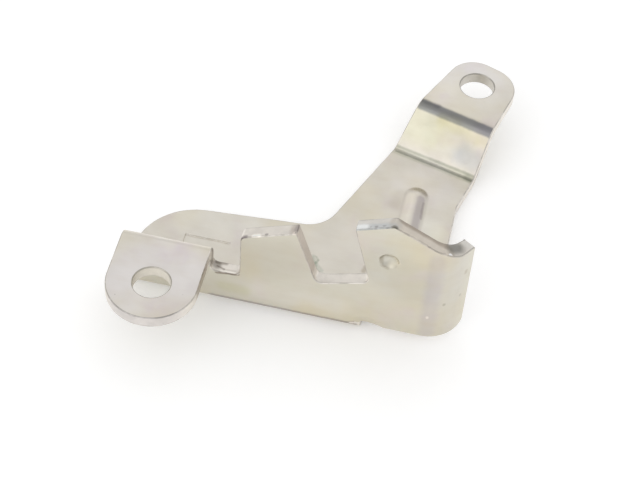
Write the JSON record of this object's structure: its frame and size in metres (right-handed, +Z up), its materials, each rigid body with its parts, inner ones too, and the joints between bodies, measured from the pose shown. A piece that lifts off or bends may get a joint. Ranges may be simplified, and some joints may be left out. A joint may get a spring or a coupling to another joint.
{
  "type": "cable mounting bracket",
  "caption": "Folded sheet steel bracket with a low and a high bolted ear, a joggled arm and an upright wall whose open slot holds a cable.",
  "frame": {"origin": "axis of the low ear's bolt hole, at that ear's underside", "axes": "+X along the wall to the right, towards its curled end; +Y back over the plate, towards the high ear; +Z up, square to the plate and along both bolt holes"},
  "size_m": [0.0654, 0.0851, 0.0313],
  "materials": {
    "zinc_plate": "satin zinc plating with a faint yellow tint"
  },
  "bodies": {
    "root": {"bracket": "zinc_plate"}
  },
  "joints": []
}
